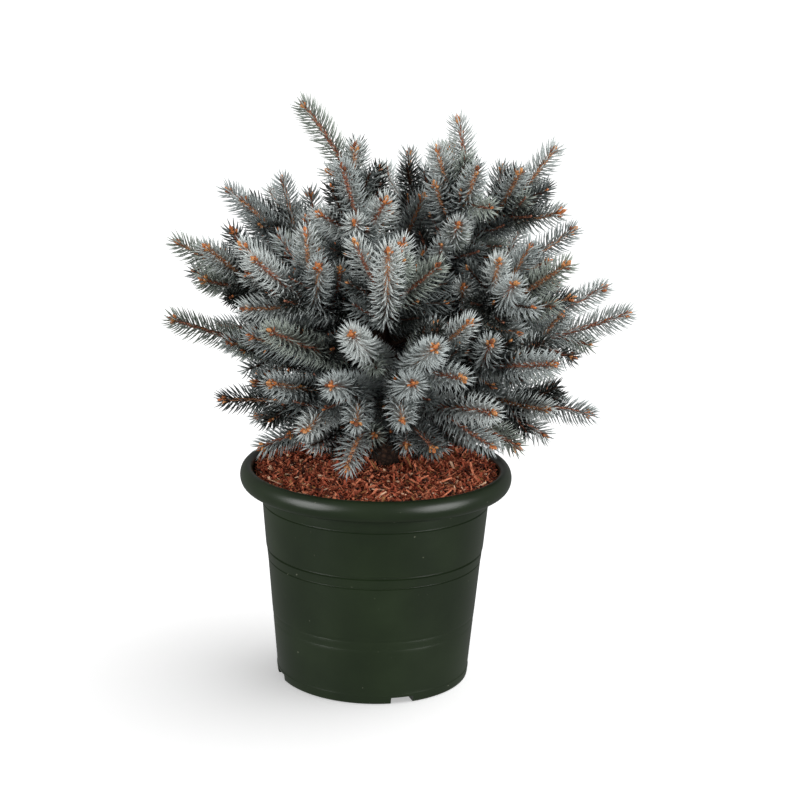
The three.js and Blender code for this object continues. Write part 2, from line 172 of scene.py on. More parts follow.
for bearing in DRAIN_BEARINGS:
    length = RIM_CENTRE[0] + RIM_HALF[0] - DRAIN_REACH
    turn = math.radians(bearing)
    middle = DRAIN_REACH + length / 2
    bpy.ops.object.select_all(action="DESELECT")
    bpy.ops.mesh.primitive_cube_add(
        size=1, rotation=(0, 0, turn),
        location=(middle * math.sin(turn) * MM, -middle * math.cos(turn) * MM, 0),
        scale=(DRAIN_WIDTH * MM, length * MM, 2 * DRAIN_HEIGHT * MM))
    channel = bpy.context.object
    bpy.ops.object.mode_set(mode="EDIT")
    bpy.ops.mesh.select_all(action="SELECT")
    bpy.ops.mesh.bevel(offset=DRAIN_EDGE * MM, segments=2, affect="EDGES")
    bpy.ops.object.mode_set(mode="OBJECT")
    bpy.context.view_layer.objects.active = tub
    cut = tub.modifiers.new("drain", "BOOLEAN")
    cut.operation = "DIFFERENCE"
    cut.solver = "EXACT"
    cut.object = channel
    bpy.ops.object.modifier_apply(modifier=cut.name)
    bpy.data.objects.remove(channel, do_unlink=True)

bpy.ops.object.select_all(action="DESELECT")
tub.select_set(True)
bpy.context.view_layer.objects.active = tub
bpy.ops.object.shade_smooth_by_angle(angle=math.radians(32))

# Polypropylene moulded in a fine-eroded tool: a satin green-black skin with a grain of
# about 0.6 mm, clouded by handling, with a few pale specks of dust and lime on it.
plastic, surface, place = new_material("moulded polypropylene, dark green", 0.4, 0.4)
cloud = add_node(plastic, "TexNoise", {"Vector": place, "Scale": 14, "Detail": 4})
skin = colour_steps(plastic, cloud.outputs["Fac"], (0.3, "#1C2717"), (0.55, "#222E1B"), (0.8, "#293621"))
speck_noise = add_node(plastic, "TexNoise", {"Vector": place, "Scale": 240, "Detail": 1})
specks = add_node(plastic, "MapRange", {
    "Value": speck_noise.outputs["Fac"], "From Min": 0.785, "From Max": 0.82, "To Max": 0.6})
dusted = add_node(plastic, "Mix", {"Factor": specks.outputs["Result"], "A": skin, "B": linear("#8C8F7C")},
                  data_type="RGBA")
link(plastic, dusted.outputs["Result"], surface, "Base Color")
rubbed = add_node(plastic, "MapRange", {"Value": cloud.outputs["Fac"], "To Min": 0.28, "To Max": 0.4})
link(plastic, rubbed.outputs["Result"], surface, "Roughness")
grain = add_node(plastic, "TexNoise", {"Vector": place, "Scale": 900, "Detail": 2})
bump = add_node(plastic, "Bump", {"Height": grain.outputs["Fac"], "Strength": 0.22, "Distance": 0.0002})
link(plastic, bump.outputs["Normal"], surface, "Normal")
tub.data.materials.append(plastic)
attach(tub, "root")
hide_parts("pot")

# ---------------------------------------------------------------- potting mix
# The tub is filled with a peat and bark mix. It lies under the mulch, and its solid
# is kept as it is, with crumbs of about 3 mm drawn in its finish.
peat, surface, place = new_material("peat potting mix", 0.95, 0.2)
crumbs = add_node(peat, "TexVoronoi", {"Vector": place, "Scale": 330, "Randomness": 1})
soil = colour_steps(peat, crumbs.outputs["Distance"], (0.0, "#3A2A20"), (0.5, "#241913"), (1.0, "#120C09"))
link(peat, soil, surface, "Base Color")
bump = add_node(peat, "Bump", {"Height": crumbs.outputs["Distance"], "Strength": 0.9, "Distance": 0.0015},
                invert=True)
link(peat, bump.outputs["Normal"], surface, "Normal")
potting_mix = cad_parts["potting_mix"]
potting_mix.data.materials.clear()
potting_mix.data.materials.append(peat)

# ---------------------------------------------------------------- trunk line
# The trunk leans a little and bows to the right. Every other part of the tree is
# placed by this line, in millimetres.
TRUNK_FOOT = np.array([10, 4, 205.3])
TRUNK_TIP = np.array([2, 6, 436.0])
TRUNK_BOW = 3
TRUNK_RADII = (15, 7)
ROOT_FLARE = 7
FLARE_HEIGHT = 22


def trunk_at(height):
    share = (height - TRUNK_FOOT[2]) / (TRUNK_TIP[2] - TRUNK_FOOT[2])
    centre = TRUNK_FOOT + (TRUNK_TIP - TRUNK_FOOT) * share
    centre[0] += TRUNK_BOW * math.sin(share * math.pi)
    centre[2] = height
    return centre


def trunk_radius(height):
    share = (height - TRUNK_FOOT[2]) / (TRUNK_TIP[2] - TRUNK_FOOT[2])
    flare = max(0, 1 - (height - TRUNK_FOOT[2]) / FLARE_HEIGHT)
    return TRUNK_RADII[0] + (TRUNK_RADII[1] - TRUNK_RADII[0]) * share + ROOT_FLARE * flare ** 2


# ---------------------------------------------------------------- bark mulch
# A layer of shredded red pine bark tops the tub: an uneven bed in the dark bark tone, which
# paints the shade in the gaps between the splinters, and splinters of 2 to 22 mm lying on it
# in every direction, as they fall from a shredder. Each is a block with ragged ends.
MULCH_EDGE = 220.5
MULCH_CROWN = 227.5
MULCH_BOTTOM = 205.6
MULCH_GAP = 0.6
MULCH_RADIUS = RIM_CENTRE[0] - RIM_HALF[0] - MULCH_GAP
BED_DEPTH = 2.5
BED_RINGS = 24
BED_STEPS = 120
BED_LUMPS = ((0.0022, 160), (0.0012, 420))
SPLINTERS = 16500
SPLINTER_LENGTH = 4.9
SPLINTER_LENGTHS = (2, 22)
SPLINTER_SLENDER = (0.14, 0.36)
SPLINTER_WIDTHS = (0.8, 2.3)
SPLINTER_FLAT = (0.3, 0.6)
SPLINTER_TILT = 24
SPLINTER_ROLL = 40
SPLINTER_SUNK = 2
SPLINTER_HEAP = 3.4
EDGE_PLAY = 0.4
RAGGED = (0.35, 1.1)
TRUNK_LEVEL = 222
# A few larger splinters lie flat on top: place, length, turn in radians, and tone.
SLIVERS = (((2, -95), 13, -0.15, 5), ((-50, -63), 18, -0.4, 1), ((74, -84), 14, 0.5, 1),
           ((34, -70), 12, 2.4, 4))
SLIVER_SLENDER = 5
SLIVER_LIFT = 4.4
BLOCK_CORNERS = ((-1, -1, -1), (-1, 1, -1), (-1, 1, 1), (-1, -1, 1),
                 (1, -1, -1), (1, 1, -1), (1, 1, 1), (1, -1, 1))
BLOCK = np.array([(0, 3, 2), (0, 2, 1), (4, 5, 6), (4, 6, 7), (0, 1, 5), (0, 5, 4),
                  (1, 2, 6), (1, 6, 5), (2, 3, 7), (2, 7, 6), (3, 0, 4), (3, 4, 7)])


def mulch_height(radius):
    share = np.clip(1 - radius / MULCH_RADIUS, 0, 1)
    return MULCH_EDGE + (MULCH_CROWN - MULCH_EDGE) * np.sin(share * math.pi / 2)


def mesh_piece(name, corners, triangles, materials, kinds=None, smooth=True):
    """One piece from arrays of corners, in millimetres, and of triangles."""
    mesh = bpy.data.meshes.new(name)
    mesh.vertices.add(len(corners))
    mesh.vertices.foreach_set("co", (np.asarray(corners) * MM).astype(np.float32).ravel())
    mesh.loops.add(len(triangles) * 3)
    mesh.loops.foreach_set("vertex_index", np.asarray(triangles, dtype=np.int32).ravel())
    mesh.polygons.add(len(triangles))
    mesh.polygons.foreach_set("loop_start", np.arange(0, len(triangles) * 3, 3, dtype=np.int32))
    for material in materials:
        mesh.materials.append(material)
    if kinds is not None:
        mesh.polygons.foreach_set("material_index", np.asarray(kinds, dtype=np.int32))
    mesh.polygons.foreach_set("use_smooth", np.full(len(triangles), smooth))
    mesh.update(calc_edges=True)
    piece = bpy.data.objects.new(name, mesh)
    bpy.context.scene.collection.objects.link(piece)
    return piece


bed_side = wall_at(MULCH_BOTTOM) - WALL - MULCH_GAP
bed_top = [MULCH_RADIUS * (1 - ring / BED_RINGS) for ring in range(BED_RINGS + 1)]
bed = turned("mulch_bed", [(0, MULCH_BOTTOM), (bed_side, MULCH_BOTTOM), (bed_side, WALL_TOP)]
             + [(radius, float(mulch_height(radius)) - BED_DEPTH) for radius in bed_top], BED_STEPS)
for vertex in bed.data.vertices:
    if vertex.co.z > (WALL_TOP + 2) * MM:
        vertex.co.z += sum(depth * noise.noise(vertex.co * scale) for depth, scale in BED_LUMPS)

chance = np.random.default_rng(11)
spread = np.sqrt(chance.uniform(0, 1, SPLINTERS))
length = np.clip(chance.lognormal(math.log(SPLINTER_LENGTH), 0.5, SPLINTERS), *SPLINTER_LENGTHS)
width = np.clip(length * chance.uniform(*SPLINTER_SLENDER, SPLINTERS), *SPLINTER_WIDTHS)
thick = width * chance.uniform(*SPLINTER_FLAT, SPLINTERS)
yaw = chance.uniform(0, 2 * math.pi, SPLINTERS)
tilt = np.radians(chance.normal(0, SPLINTER_TILT, SPLINTERS))
roll = np.radians(chance.normal(0, SPLINTER_ROLL, SPLINTERS))
bearing = chance.uniform(0, 2 * math.pi, SPLINTERS)
for number, (place, long, turned_to, _) in enumerate(SLIVERS):
    spread[number] = math.hypot(*place) / MULCH_RADIUS
    bearing[number] = math.atan2(place[1], place[0])
    length[number] = long
    width[number] = long / SLIVER_SLENDER
    yaw[number] = turned_to
    tilt[number] = 0
    roll[number] = 0
outward = np.abs(np.cos(yaw - bearing)) * length / 2 + np.abs(np.sin(yaw - bearing)) * width / 2
radius = np.minimum(spread * MULCH_RADIUS, MULCH_RADIUS + EDGE_PLAY - outward)
along = np.stack([np.cos(yaw) * np.cos(tilt), np.sin(yaw) * np.cos(tilt), np.sin(tilt)], 1)
level = np.stack([-np.sin(yaw), np.cos(yaw), np.zeros(SPLINTERS)], 1)
above = np.cross(along, level)
across = level * np.cos(roll)[:, None] + above * np.sin(roll)[:, None]
above = np.cross(along, across)
centre = np.stack([radius * np.cos(bearing), radius * np.sin(bearing),
                   mulch_height(radius) - SPLINTER_SUNK + chance.uniform(0, SPLINTER_HEAP, SPLINTERS)
                   + np.abs(np.sin(tilt)) * length * 0.3], 1)
centre[:len(SLIVERS), 2] = mulch_height(radius[:len(SLIVERS)]) + SLIVER_LIFT
corners = []
for end, side, face in BLOCK_CORNERS:
    ragged = chance.uniform(*RAGGED, (4, SPLINTERS))
    corners.append(centre + along * (end * length * (0.36 + 0.14 * ragged[0]))[:, None]
                   + across * (side * width * 0.5 * ragged[1])[:, None]
                   + above * (face * thick * 0.5 * ragged[2])[:, None]
                   + across * (chance.normal(0, 0.18, SPLINTERS) * width)[:, None])
corners = np.stack(corners, 1)
foot = trunk_at(TRUNK_LEVEL)
to_trunk = np.hypot(centre[:, 0] - foot[0], centre[:, 1] - foot[1])
clear = to_trunk > trunk_radius(TRUNK_LEVEL) + length * 0.35
corners = corners[clear]
triangles = (BLOCK[None] + 8 * np.arange(len(corners))[:, None, None]).reshape(-1, 3)

# Shredded bark keeps its fibres: each splinter is finely grooved, in the reds and browns
# of pine bark, with some dark outer bark, ochre rot and a few pale slivers of wood. The
# last number is each tone's share of the splinters.
BARK_TONES = (
    ("shredded bark, red brown", "#863C28", "#C8684A", 0.31),
    ("shredded bark, orange red", "#B05E42", "#F69C76", 0.28),
    ("shredded bark, dark", "#2A140E", "#4E2820", 0.16),
    ("shredded bark, brown", "#682E1E", "#9C4E36", 0.16),
    ("shredded bark, ochre", "#7C5030", "#B07C4C", 0.05),
    ("shredded bark, pale wood", "#D8A480", "#FFDCBC", 0.04))
GAP_SHADE_TONE = 2
bark_tones = []
for name, dark, light, _ in BARK_TONES:
    tone, surface, place = new_material(name, 0.85, 0.3)
    fibre = add_node(tone, "TexNoise", {"Vector": place, "Scale": 420, "Detail": 3, "Distortion": 1.5})
    link(tone, colour_steps(tone, fibre.outputs["Fac"], (0.3, dark), (0.7, light)), surface, "Base Color")
    bump = add_node(tone, "Bump", {"Height": fibre.outputs["Fac"], "Strength": 0.6, "Distance": 0.0006})
    link(tone, bump.outputs["Normal"], surface, "Normal")
    bark_tones.append(tone)
tones = chance.choice(len(BARK_TONES), len(corners), p=[share for _, _, _, share in BARK_TONES])
tones[:len(SLIVERS)] = [tone for _, _, _, tone in SLIVERS]
splinters = mesh_piece("mulch_splinters", corners.reshape(-1, 3), triangles, bark_tones,
                       np.repeat(tones, len(BLOCK)), smooth=False)
# The bed takes the dark bark tone: painted shade in the gaps between splinters.
bed.data.materials.append(bark_tones[GAP_SHADE_TONE])
for piece in (bed, splinters):
    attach(piece, "root")
    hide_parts("bark_mulch")

# ---------------------------------------------------------------- trunk
# Short stout stem of a young spruce, under dark scaly bark. A ring of corners is
# extruded up the trunk's line, and the bark's plates are raised on the finer mesh, with
# a swelling at each old whorl of boughs.
TRUNK_SIDES = 20
TRUNK_RINGS = 34
PLATES_PER_METRE = (210, 210, 90)
BARK_RELIEF = 0.9
SWELLING = 1.6
SWELLING_HALF = 7
SWELLING_HEIGHTS = (288, 328, 366, 400)

bpy.ops.object.select_all(action="DESELECT")
bottom = TRUNK_FOOT[2] + 0.3
bpy.ops.mesh.primitive_circle_add(vertices=TRUNK_SIDES, radius=trunk_radius(bottom) * MM, fill_type="NGON",
                                  location=trunk_at(bottom) * MM)
trunk = bpy.context.object
trunk.name = "trunk_stem"
bpy.ops.object.transform_apply(location=True)
bpy.ops.object.mode_set(mode="EDIT")
before = bottom
for ring in range(1, TRUNK_RINGS + 1):
    height = bottom + (TRUNK_TIP[2] - bottom) * (ring / TRUNK_RINGS) ** 1.2
    step = (trunk_at(height) - trunk_at(before)) * MM
    shrink = trunk_radius(height) / trunk_radius(before)
    bpy.ops.mesh.extrude_region_move(TRANSFORM_OT_translate={"value": step})
    bpy.ops.transform.resize(value=(shrink, shrink, 1), center_override=trunk_at(height) * MM)
    before = height
bpy.ops.mesh.select_all(action="SELECT")
bpy.ops.mesh.subdivide(number_cuts=1, smoothness=0.5)
bpy.ops.mesh.normals_make_consistent(inside=False)
bpy.ops.object.mode_set(mode="OBJECT")
for vertex in trunk.data.vertices:
    height = vertex.co.z / MM
    if bottom + 1 < height < TRUNK_TIP[2] - 1:
        middle = Vector(trunk_at(height) * MM)
        out = vertex.co - middle
        out.z = 0
        at = Vector([size * scale for size, scale in zip(vertex.co, PLATES_PER_METRE)])
        wander = Vector((noise.noise(at * 0.7), noise.noise(at * 0.6 + Vector((9, 0, 0))), 0))
        plate = noise.cell(at + wander * 0.8)
        relief = BARK_RELIEF * plate + BARK_RELIEF * noise.noise(vertex.co * 380) - BARK_RELIEF
        vertex.co += out.normalized() * relief * MM
        for whorl_height in SWELLING_HEIGHTS:
            share = math.exp(-((height - whorl_height) / SWELLING_HALF) ** 2)
            vertex.co += out.normalized() * SWELLING * MM * share
bpy.ops.object.select_all(action="DESELECT")
trunk.select_set(True)
bpy.context.view_layer.objects.active = trunk
bpy.ops.object.shade_smooth_by_angle(angle=math.radians(40))

# Spruce bark: brown scales a few millimetres across between near-black cracks, dull
# and rough.
trunk_bark, surface, place = new_material("spruce bark, scaly", 0.92, 0.25)
scales = add_node(trunk_bark, "TexVoronoi", {"Vector": place, "Scale": 190}, feature="DISTANCE_TO_EDGE")
fine = add_node(trunk_bark, "TexNoise", {"Vector": place, "Scale": 380, "Detail": 5})
tint = add_node(trunk_bark, "Math", {0: scales.outputs["Distance"], 1: fine.outputs["Fac"]},
                operation="MULTIPLY")
shades = colour_steps(trunk_bark, tint.outputs["Value"],
                      (0.0, "#160D09"), (0.12, "#3A281E"), (0.4, "#5C4434"))
link(trunk_bark, shades, surface, "Base Color")
bump = add_node(trunk_bark, "Bump", {"Height": tint.outputs["Value"], "Strength": 0.8, "Distance": 0.0012})
link(trunk_bark, bump.outputs["Normal"], surface, "Normal")
trunk.data.materials.append(trunk_bark)
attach(trunk, "root")
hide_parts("trunk")

# ---------------------------------------------------------------- how the boughs grow
# Boughs stand in whorls, each with its name, its height on the trunk and whether its
# boughs have bare limbs. Each row: bearing from the front (right is positive), lift at
# the trunk and turn up along the bough in degrees, reach in millimetres, and how full
# its side twigs are.
SEED = 42             # starts the branching rule
SEED_STEP = 977       # between the seeds of two boughs
FINER_SEED_STEP = 131
SEASON = 92           # length that a bough grew this year
LIMB_SHARE = 0.36     # share of a bough that is bare limb
STAGGER = 5           # step in height between the boughs of a whorl
STEM_FROM = 14        # where twigs may start on a bough without a limb
NEEDLES_FROM = 16     # and its needles
SPINE_FROM = 24
SPINE_STEPS = 15
AT_NODE = {"wanted": 4, "tries": 20, "angles": (38, 54), "lengths": (0.74, 0.95)}
AT_NODE_STEP = 2.5
BEHIND_NODE = {"wanted": 3, "tries": 24, "angles": (48, 66), "lengths": (0.5, 0.85)}
BEHIND_FROM = 0.3     # shares of the bare stem behind the node
BEHIND_STEP = 0.25
ROLL_PLAY = 12        # degrees that a twig may stray round its stem
ROLL_STEP = 68.75     # turn between tries, half the golden angle
TWIG_FORWARD = 0.25   # how far a twig bends along its stem
TWIG_UP = 0.2         # and upwards
GROUND_ROOM = 246     # no twig hangs lower than this
TRUNK_ROOM = 1
ABOVE_TRUNK = 4       # the trunk's space reaches this far over its tip
TWIG_ROOM = {"end": 7, "middle": 6}
TWIGS_APART = {"end": 34, "middle": 15}
FINER_ROOM = 2
FINER_APART = {"end": 15, "middle": 8}
FINER_ANGLES = (44, 64)
FINER_SPREAD = (0.8, 1.2)
FINER_ROLL_STEP = 137.5
FINER_FROM = 8        # first finer twig, behind the last node
FINER_TO = 26         # last one, from the trunk's middle
INNER_TO = 20         # how far the shaded inner twigs reach past the limb
INNER_TWIGS = {"span": 46, "step": 6}
OUTER_TWIGS = {"span": 38, "step": 9}
STEM_TRIES = 8
ON_SIDES = {"longer_than": 56, "shares": (0.16, 0.36), "span": 42, "tries": 5}
SHOOT_STEP = 3
# Radii at the foot and tip of a bough's own stem, its side twigs and the finer ones.
SHOOT_RADII = ((3, 2), (2.4, 1.8), (1.6, 1.2))
WHORLS = (
    ("skirt", 258, False, ((-78, 28, -56, 137, 0.6), (-21, 36, -86, 122, 0.5), (21, 40, -60, 134, 0.5),
                           (66, 24, -52, 150, 0.4), (124, 34, -36, 144, 0.8), (-140, 34, -36, 144, 0.8))),
    ("lower", 288, False, ((-88, 12, -14, 170, 1), (-38, 15, 2, 190, 1), (34, 19, -14, 186, 1),
                           (88, 4, -15, 212, 0.8), (142, 12, -8, 200, 1), (-150, 12, -8, 196, 1))),
    ("front", 304, False, ((7, 15, 2, 200, 1),)),
    ("middle", 328, True, ((-86, 12, 7, 228, 0.5), (-34, 12, 14, 210, 1), (12, 13, 13, 222, 1),
                           (44, 5, 8, 232, 0.8), (84, 9, 13, 254, 0.5), (108, 12, 15, 256, 0.75),
                           (174, 8, 12, 226, 1), (-132, 10, 12, 226, 1))),
    ("upper", 366, True, ((-90, 20, 10, 236, 1), (-40, 15, 22, 218, 1), (0, 17, 34, 220, 1),
                          (70, 35, 72, 238, 1), (101, 21, 14, 222, 0.85), (56, 15, 24, 234, 1),
                          (146, 20, 20, 214, 1), (-134, 27, 20, 218, 1))),
    ("shoulder", 392, False, ((-108, 26, 13, 205, 0.95), (86, 33, 24, 238, 0.85))),
    ("crest", 416, False, ((-26, 46, 16, 162, 0.85), (150, 41, 10, 176, 1))),
    ("leader", 436, False, ((-78, 76, -26, 184, 0.5),)),
    ("low_inset", 306, False, ((-17, 14, 0, 190, 1),)),
    ("high_inset", 338, False, ((-10, 12, 14, 204, 1),)))
UP = np.array([0, 0, 1.0])


class Seeded:
    """Numbers that look random but come out the same on every run."""

    def __init__(self, seed):
        self.state = seed % 2 ** 32

    def between(self, low, high):
        self.state = (self.state * 1664525 + 1013904223) % 2 ** 32
        return low + (high - low) * self.state / 2 ** 32


def unit(vector):
    return vector / np.linalg.norm(vector)


def cross_axes(along):
    """Two directions square to a path's direction: one level, one leaning up."""
    level = unit(np.cross(UP, along))
    return level, np.cross(along, level)


def swung(first, second, angle):
    """The direction that lies an angle away from the first, towards the second."""
    return first * math.cos(angle) + second * math.sin(angle)


class Bough:
    """An arc in one upright plane, from the trunk's middle outwards."""

    def __init__(self, whorl, row, place, number):
        name, height, has_limb, rows = whorl
        bearing, lift, turn, self.reach, self.fullness = row
        stagger = ((place * 3) % 5 - 2) * STAGGER if len(rows) > 2 else 0
        self.name = f"{name}_{place + 1}"
        self.number = number
        self.root = trunk_at(height + stagger)
        self.bearing = math.radians(bearing)
        self.lift = math.radians(lift)
        self.bend = math.radians(turn) / self.reach
        self.season = min(SEASON, self.reach / 2)
        self.node = self.reach - self.season
        self.has_limb = has_limb
        self.limb_end = self.reach * LIMB_SHARE if has_limb else 0
        self.spine = np.array([self.at(SPINE_FROM + (self.reach - SPINE_FROM) * step / SPINE_STEPS)
                               for step in range(SPINE_STEPS + 1)])

    def at(self, length):
        angle = self.lift + self.bend * length
        out = length * math.cos(self.lift)
        rise = length * math.sin(self.lift)
        if abs(self.bend) > 1e-7:
            out = (math.sin(angle) - math.sin(self.lift)) / self.bend
            rise = (math.cos(self.lift) - math.cos(angle)) / self.bend
        return self.root + np.array([out * math.sin(self.bearing), -out * math.cos(self.bearing), rise])

    def along(self, length):
        angle = self.lift + self.bend * length
        return np.array([math.cos(angle) * math.sin(self.bearing), -math.cos(angle) * math.cos(self.bearing),
                         math.sin(angle)])


class Twig:
    """A side twig leaves its stem at an angle and bends forwards and up."""

    def __init__(self, start, along, roll, angle, span):
        level, above = cross_axes(along)
        first = swung(along, swung(level, above, roll), angle)
        self.span = span
        self.start = start
        self.middle = start + first * span / 2
        self.end = self.middle + unit(first + TWIG_FORWARD * along + TWIG_UP * UP) * span / 2

    def at(self, share):
        return ((1 - share) ** 2 * self.start + 2 * share * (1 - share) * self.middle
                + share ** 2 * self.end)

    def along(self, share):
        return unit((1 - share) * (self.middle - self.start) + share * (self.end - self.middle))


boughs = []
for whorl in WHORLS:
    for place, row in enumerate(whorl[-1]):
        boughs.append(Bough(whorl, row, place, len(boughs) + 1))


def room(point, bough):
    """How far a point lies inside its bough's own space; outside it is negative."""
    own_gaps = np.linalg.norm(bough.spine - point, axis=1)
    own = bough.spine[own_gaps.argmin()]
    least = point[2] - GROUND_ROOM
    others = np.concatenate([other.spine for other in boughs if other is not bough])
    halves = ((np.sum((others - point) ** 2, axis=1) - own_gaps.min() ** 2)
              / (2 * np.linalg.norm(others - own, axis=1)))
    least = min(least, halves.min())
    if point[2] < TRUNK_TIP[2] + ABOVE_TRUNK:
        centre = trunk_at(point[2])
        gap = math.hypot(point[0] - centre[0], point[1] - centre[1])
        least = min(least, gap - trunk_radius(point[2]) - TRUNK_ROOM)
    return least


def crowded(twig, ends, middles, apart):
    """Whether a twig's end or middle lies too near to those of its neighbours."""
    return (any(np.linalg.norm(end - twig.end) < apart["end"] for end in ends)
            or any(np.linalg.norm(middle - twig.at(0.5)) < apart["middle"] for middle in middles))


def side_twigs(bough):
    """Side twigs round the last node, then down the older stem."""
    random = Seeded(SEED + SEED_STEP * bough.number)
    grown = []

    def grow(place, wanted, tries, angles, lengths):
        count = 0
        roll = random.between(0, 360)
        for attempt in range(tries):
            if count == wanted:
                break
            turned_to = roll + random.between(-ROLL_PLAY, ROLL_PLAY)
            angle = random.between(*angles)
            span = bough.season * bough.fullness * random.between(*lengths)
            length = place(count)
            twig = Twig(bough.at(length), bough.along(length), math.radians(turned_to),
                        math.radians(angle), span)
            roll += 360 / wanted if attempt % 2 == 0 else ROLL_STEP
            if crowded(twig, [other.end for other in grown], [other.at(0.5) for other in grown], TWIGS_APART):
                continue
            if room(twig.end, bough) > TWIG_ROOM["end"] and room(twig.at(0.6), bough) > TWIG_ROOM["middle"]:
                grown.append(twig)
                count += 1

    stem = bough.node - (bough.limb_end if bough.has_limb else STEM_FROM)
    grow(lambda count: bough.node - AT_NODE_STEP * count, **AT_NODE)
    grow(lambda count: bough.node - stem * (BEHIND_FROM + BEHIND_STEP * count), **BEHIND_NODE)
    return grown


def finer_twigs(bough, sides):
    """Shorter twigs between those: on the old stem, on the side twigs and on the limb."""
    random = Seeded(SEED + FINER_SEED_STEP * bough.number)
    grown = []
    ends = [side.end for side in sides]
    middles = [side.at(0.5) for side in sides]

    def grow(start, along, span, tries):
        roll = random.between(0, 360)
        for attempt in range(tries):
            angle = math.radians(random.between(*FINER_ANGLES))
            twig = Twig(start, along, math.radians(roll), angle, span * random.between(*FINER_SPREAD))
            roll += FINER_ROLL_STEP
            if crowded(twig, ends, middles, FINER_APART):
                continue
            if room(twig.end, bough) > FINER_ROOM and room(twig.at(0.6), bough) > FINER_ROOM:
                grown.append(twig)
                ends.append(twig.end)
                middles.append(twig.at(0.5))
                return

    length = bough.node - FINER_FROM
    while length > FINER_TO:
        kind = INNER_TWIGS if length < bough.limb_end + INNER_TO else OUTER_TWIGS
        grow(bough.at(length), bough.along(length), kind["span"], STEM_TRIES)
        length -= kind["step"]
    for side in sides:
        if side.span > ON_SIDES["longer_than"]:
            for share in ON_SIDES["shares"]:
                grow(side.at(share), side.along(share), ON_SIDES["span"], ON_SIDES["tries"])
    return grown


class Shoot:
    """One needled twig: points along it, its radii, where its older wood ends, and its rank."""

    def __init__(self, bough, points, radii, old, rank):
        self.bough = bough
        self.points = np.array(points)
        steps = np.linalg.norm(np.diff(self.points, axis=0), axis=1)
        self.marks = np.concatenate([[0], np.cumsum(steps)])
        self.length = self.marks[-1]
        self.radii = radii
        self.old = old
        self.rank = rank


def twig_shoot(bough, twig, rank):
    count = max(4, round(twig.span / SHOOT_STEP))
    return Shoot(bough, [twig.at(step / count) for step in range(count + 1)], SHOOT_RADII[rank], 0, rank)


# Ranks: 0 is a bough's own stem, 1 its side twigs, and 2 the finer ones.
shoots = []
for bough in boughs:
    start = bough.limb_end if bough.has_limb else NEEDLES_FROM
    count = max(4, round((bough.reach - start) / SHOOT_STEP))
    stem = [bough.at(start + (bough.reach - start) * step / count) for step in range(count + 1)]
    shoots.append(Shoot(bough, stem, SHOOT_RADII[0], bough.node - start, 0))
    sides = side_twigs(bough)
    shoots += [twig_shoot(bough, twig, 1) for twig in sides]
    shoots += [twig_shoot(bough, twig, 2) for twig in finer_twigs(bough, sides)]

# ---------------------------------------------------------------- boughs
# Bare limbs from the trunk to where the needles start, about as thick as a pencil, with
# rough bark and a collar where they join the trunk. The other boughs start as stubs.
LIMB_RADII = (4.6, 2.8)
STUB_RADII = (3.4, 2.6)
STUB_LENGTH = 18
LIMB_COLLAR = 2.2
COLLAR_FADE = 5
LIMB_SIDES = 10


def units(vectors):
    return vectors / np.linalg.norm(vectors, axis=1)[:, None]


def tube(points, radii, sides, rough, random):
    """A closed skin over rings of corners along a line of points."""
    points = np.asarray(points)
    along = units(np.gradient(points, axis=0))
    steady = np.eye(3)[np.abs(along.mean(axis=0)).argmin()]
    across = units(np.cross(steady, along))
    above = np.cross(along, across)
    turns = np.arange(sides) * 2 * math.pi / sides
    turns = turns[None] + (np.arange(len(points)) % 2)[:, None] * math.pi / sides
    widths = np.asarray(radii)[:, None] * (1 + rough * random.uniform(-1, 1, (len(points), sides)))
    rings = (points[:, None] + across[:, None] * (np.cos(turns) * widths)[..., None]
             + above[:, None] * (np.sin(turns) * widths)[..., None])
    corners = rings.reshape(-1, 3)
    triangles = []
    for ring in range(len(points) - 1):
        for side in range(sides):
            here = ring * sides + side
            beside = ring * sides + (side + 1) % sides
            if ring % 2 == 0:
                triangles += [(here, beside, here + sides), (beside, beside + sides, here + sides)]
            else:
                triangles += [(here, beside, beside + sides), (here, beside + sides, here + sides)]
    last = (len(points) - 1) * sides
    for side in range(1, sides - 1):
        triangles += [(0, side + 1, side), (last, last + side, last + side + 1)]
    return corners, np.array(triangles)


def joined(parts):
    """Corner and triangle arrays of several skins as one."""
    shift = np.cumsum([0] + [len(corners) for corners, _ in parts[:-1]])
    return (np.concatenate([corners for corners, _ in parts]),
            np.concatenate([triangles + move for (_, triangles), move in zip(parts, shift)]))


chance = np.random.default_rng(5)
parts = []
for bough in boughs:
    end = bough.limb_end + 6 if bough.has_limb else STUB_LENGTH
    thickest, thinnest = LIMB_RADII if bough.has_limb else STUB_RADII
    count = max(8, round(end / 2))
    lengths = np.linspace(0, end, count + 1)
    radii = thickest + (thinnest - thickest) * lengths / end
    past_trunk = np.maximum(0, lengths - trunk_radius(bough.root[2]))
    radii = radii + LIMB_COLLAR * np.exp(-past_trunk / COLLAR_FADE)
    radii = radii * (1 + 0.07 * chance.uniform(-1, 1, count + 1))
    parts.append(tube([bough.at(length) for length in lengths], radii, LIMB_SIDES, 0.09, chance))
limb_bark, surface, place = new_material("spruce bark on limbs, grey brown", 0.9, 0.25)
fissures = add_node(limb_bark, "TexNoise", {"Vector": place, "Scale": 480, "Detail": 4, "Distortion": 0.8})
shades = colour_steps(limb_bark, fissures.outputs["Fac"],
                      (0.3, "#1C120D"), (0.55, "#3B281E"), (0.75, "#5A4436"))
link(limb_bark, shades, surface, "Base Color")
bump = add_node(limb_bark, "Bump", {"Height": fissures.outputs["Fac"], "Strength": 0.8, "Distance": 0.0008})
link(limb_bark, bump.outputs["Normal"], surface, "Normal")
corners, triangles = joined(parts)
limbs = mesh_piece("limbs", corners, triangles, [limb_bark])
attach(limbs, "root")
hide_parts(*[f"bough_{bough.name}" for bough in boughs if bough.has_limb])

